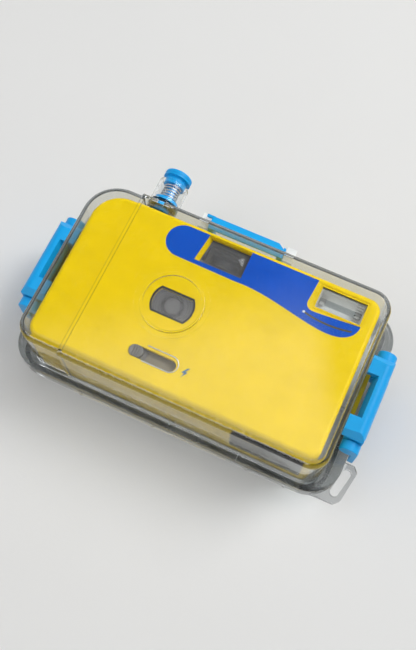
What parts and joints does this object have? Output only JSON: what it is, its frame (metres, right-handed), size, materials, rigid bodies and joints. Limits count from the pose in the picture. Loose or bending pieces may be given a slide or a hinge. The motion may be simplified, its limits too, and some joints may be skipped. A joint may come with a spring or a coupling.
{
  "type": "underwater film camera",
  "caption": "Compact film camera in a clear waterproof housing with side latches, a sprung shutter plunger, a fold-up sports finder and a strap lug.",
  "frame": {"origin": "centre of the rest plane, on the back of the housing under the middle of the camera, where its two stiffening ribs cross", "axes": "+X to the right as the front is seen, +Y to the top of the camera with the plunger and the finder, +Z out of the front through the lens; the housing lies on its back as in the picture"},
  "size_m": [0.1484, 0.0959, 0.046],
  "materials": {
    "clear_plastic": "clear moulded plastic",
    "clear_silicone": "milky clear silicone seal",
    "seal_rubber": "smooth black seal rubber",
    "light_blue_plastic": "satin light blue plastic",
    "stainless_steel": "drawn stainless steel",
    "yellow_plastic": "glossy yellow plastic",
    "deep_blue_plastic": "satin deep blue plastic",
    "olive_paint": "thin dark olive painted line",
    "white_plastic": "white plastic disc",
    "black_plastic": "matt black plastic",
    "grey_plastic": "grey ridged plastic",
    "smoked_window": "clear smoked plastic window",
    "lens_glass": "polished glass",
    "black_steel": "blackened steel",
    "cassette_plastic": "plain grey cassette",
    "film_base": "dark brown film",
    "flash_plastic": "clear ribbed flash window",
    "bright_reflector": "bright reflector",
    "circuit_board": "green circuit board",
    "capacitor_sleeve": "dark sleeve",
    "dark_ink": "printed dark mark",
    "battery_jacket": "plain battery jacket",
    "spring_steel": "nickel-plated spring steel"
  },
  "bodies": {
    "camera_housing": {"front_shell": "clear_plastic", "rear_shell": "clear_plastic", "latch_catch_right": "clear_plastic", "latch_catch_left": "clear_plastic", "shell_gasket": "clear_silicone", "lever_pins": "stainless_steel", "finder_pins": "stainless_steel", "plunger_spring": "stainless_steel", "plunger_washer": "light_blue_plastic", "stem_seal": "seal_rubber", "advance_seal": "seal_rubber", "front_cover": "yellow_plastic", "front_panel": "deep_blue_plastic", "accent_line": "olive_paint", "camera_back": "yellow_plastic", "film_door": "black_plastic", "film_window": "smoked_window", "bottom_plate": "black_plastic", "battery_door": "yellow_plastic", "lens_window": "smoked_window", "lens_barrel": "black_plastic", "front_lens": "lens_glass", "rear_lens": "lens_glass", "aperture_plate": "black_plastic", "shutter_housing": "black_plastic", "chassis": "black_plastic", "film_cassette": "cassette_plastic", "film": "film_base", "pressure_plate": "black_steel", "flash_window": "flash_plastic", "flash_reflector": "bright_reflector", "flash_tube": "lens_glass", "flash_board": "circuit_board", "flash_capacitor": "capacitor_sleeve", "switch_guide": "black_plastic", "flash_mark": "dark_ink", "battery": "battery_jacket", "battery_contacts": "spring_steel", "viewfinder_lens": "lens_glass", "viewfinder_eyepiece": "lens_glass", "viewfinder_tunnel": "black_plastic", "case_screws": "black_steel"},
    "plunger": {"plunger_cap": "light_blue_plastic", "plunger_stem": "light_blue_plastic", "stem_clip": "stainless_steel"},
    "shutter_button_body": {"shutter_button": "black_plastic"},
    "shutter_blade_body": {"shutter_blade": "black_steel"},
    "finder": {"finder_frame": "light_blue_plastic"},
    "right_lever": {"latch_lever_right": "light_blue_plastic", "hook_pin_right": "stainless_steel"},
    "right_hook": {"latch_hook_right": "light_blue_plastic"},
    "left_lever": {"latch_lever_left": "light_blue_plastic", "hook_pin_left": "stainless_steel"},
    "left_hook": {"latch_hook_left": "light_blue_plastic"},
    "advance": {"advance_knob": "light_blue_plastic", "advance_roller": "seal_rubber"},
    "take_up": {"takeup_spool": "black_plastic", "thumbwheel": "black_plastic"},
    "sprocket_body": {"sprocket": "black_plastic"},
    "counter": {"counter_dial": "white_plastic"},
    "rewind": {"rewind_knob": "black_plastic"},
    "switch_slider": {"flash_switch": "grey_plastic"}
  },
  "joints": [
    {"name": "plunger_press", "type": "slide", "parent": "camera_housing", "child": "plunger", "axis": [0, -1, 0], "range_m": [0, 0.002], "stiffness_N_per_m": 400, "springref_m": -0.002, "deforming": ["plunger_spring"]},
    {"name": "button_press", "type": "slide", "parent": "camera_housing", "child": "shutter_button_body", "axis": [0, -1, 0], "range_m": [0, 0.002]},
    {"name": "blade_swing", "type": "hinge", "parent": "camera_housing", "child": "shutter_blade_body", "pos_m": [-0.0052, -0.0058, 0.0335], "axis": [0, 0, -1], "range_deg": [0, 41]},
    {"name": "finder_fold", "type": "hinge", "parent": "camera_housing", "child": "finder", "pos_m": [0, 0.04, 0.034], "axis": [1, 0, 0], "range_deg": [0, 90]},
    {"name": "right_lever_open", "type": "hinge", "parent": "camera_housing", "child": "right_lever", "pos_m": [0.0699, 0, 0.0096], "axis": [0, 1, 0], "range_deg": [0, 90]},
    {"name": "right_hook_open", "type": "hinge", "parent": "right_lever", "child": "right_hook", "pos_m": [0.0683, 0, 0.0255], "axis": [0, 1, 0], "range_deg": [0, 80]},
    {"name": "left_lever_open", "type": "hinge", "parent": "camera_housing", "child": "left_lever", "pos_m": [-0.0699, 0, 0.0096], "axis": [0, -1, 0], "range_deg": [0, 90]},
    {"name": "left_hook_open", "type": "hinge", "parent": "left_lever", "child": "left_hook", "pos_m": [-0.0683, 0, 0.0255], "axis": [0, -1, 0], "range_deg": [0, 80]},
    {"name": "advance_turn", "type": "hinge", "parent": "camera_housing", "child": "advance", "pos_m": [-0.046, 0.02, 0], "axis": [0, 0, 1], "continuous": true},
    {"name": "take_up_turn", "type": "hinge", "parent": "camera_housing", "child": "take_up", "pos_m": [-0.046, 0, 0.0167], "axis": [0, 1, 0], "continuous": true},
    {"name": "sprocket_turn", "type": "hinge", "parent": "camera_housing", "child": "sprocket_body", "pos_m": [-0.0346, 0, 0.014], "axis": [0, 1, 0], "continuous": true},
    {"name": "counter_turn", "type": "hinge", "parent": "camera_housing", "child": "counter", "pos_m": [-0.024, 0, 0.022], "axis": [0, 1, 0], "continuous": true},
    {"name": "rewind_turn", "type": "hinge", "parent": "camera_housing", "child": "rewind", "pos_m": [0.0435, 0, 0.0221], "axis": [0, 1, 0], "continuous": true},
    {"name": "flash_switch_slide", "type": "slide", "parent": "camera_housing", "child": "switch_slider", "axis": [1, 0, 0], "range_m": [0, 0.013]}
  ],
  "couplings": [
    {"joint": "button_press", "follows": "plunger_press", "ratio": 1},
    {"joint": "blade_swing", "follows": "plunger_press", "rad_per_m": 350},
    {"joint": "take_up_turn", "follows": "advance_turn", "ratio": 0.41081},
    {"joint": "sprocket_turn", "follows": "advance_turn", "ratio": 0.7168},
    {"joint": "counter_turn", "follows": "advance_turn", "ratio": 0.0107}
  ]
}
